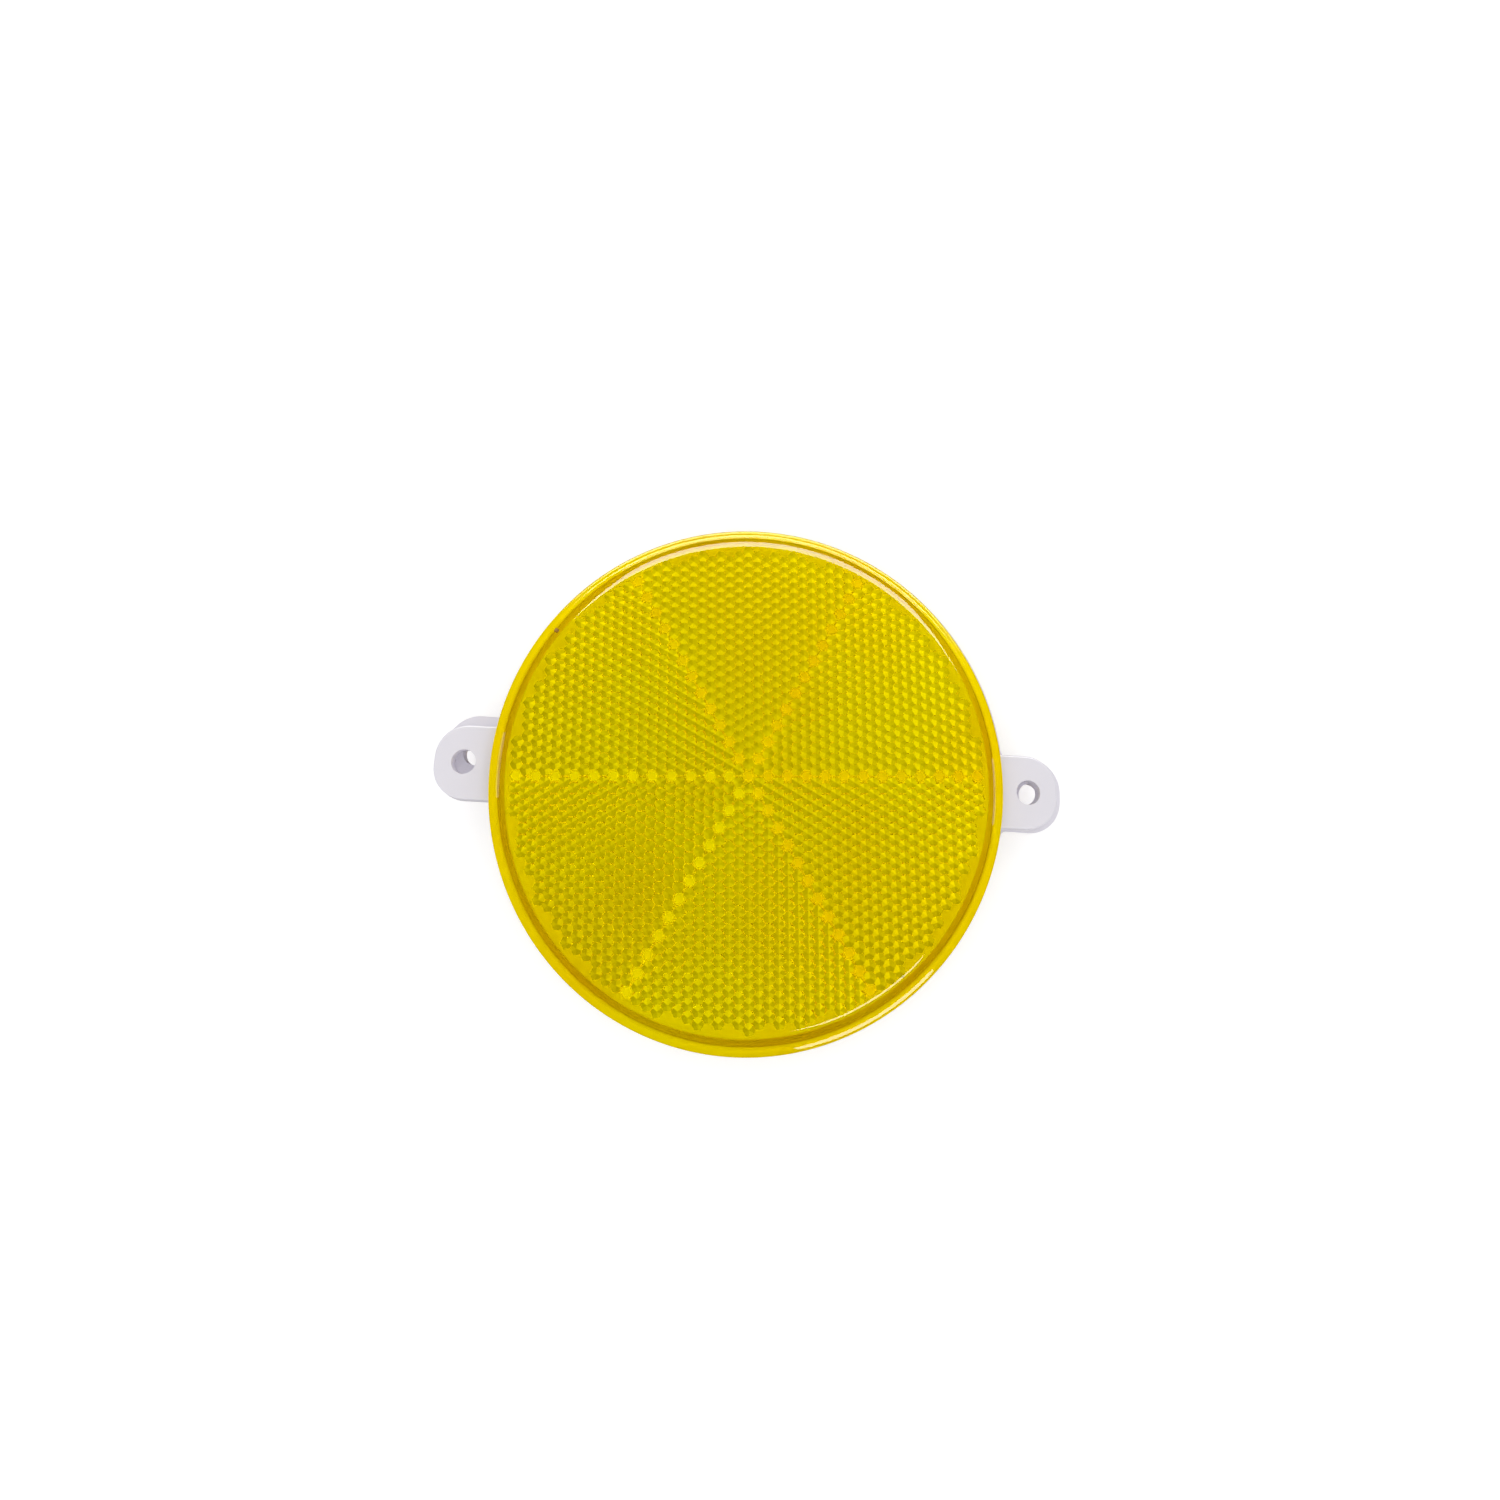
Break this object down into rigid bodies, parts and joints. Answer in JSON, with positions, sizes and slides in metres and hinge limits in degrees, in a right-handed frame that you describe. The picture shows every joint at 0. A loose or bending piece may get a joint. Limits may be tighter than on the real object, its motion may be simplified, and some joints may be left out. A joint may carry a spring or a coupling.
{
  "type": "round reflex reflector",
  "caption": "Double-sided round reflex reflector: amber corner-cube lenses on white housings, bonded back to back, with screw ears on both sides.",
  "frame": {"origin": "in the plane of the rear lens's face, under the centre of the whole outline", "axes": "+Z out of the front lens, the two ears along X"},
  "size_m": [0.1244, 0.1012, 0.016],
  "materials": {
    "lens_amber": "clear amber acrylic with moulded prisms behind a polished face",
    "housing_white": "white ABS, low gloss",
    "bond_pad": "white acrylic foam adhesive, guessed"
  },
  "bodies": {
    "root": {"front_lens": "lens_amber", "front_housing": "housing_white", "bond_pad": "bond_pad", "rear_housing": "housing_white", "rear_lens": "lens_amber"}
  },
  "joints": []
}
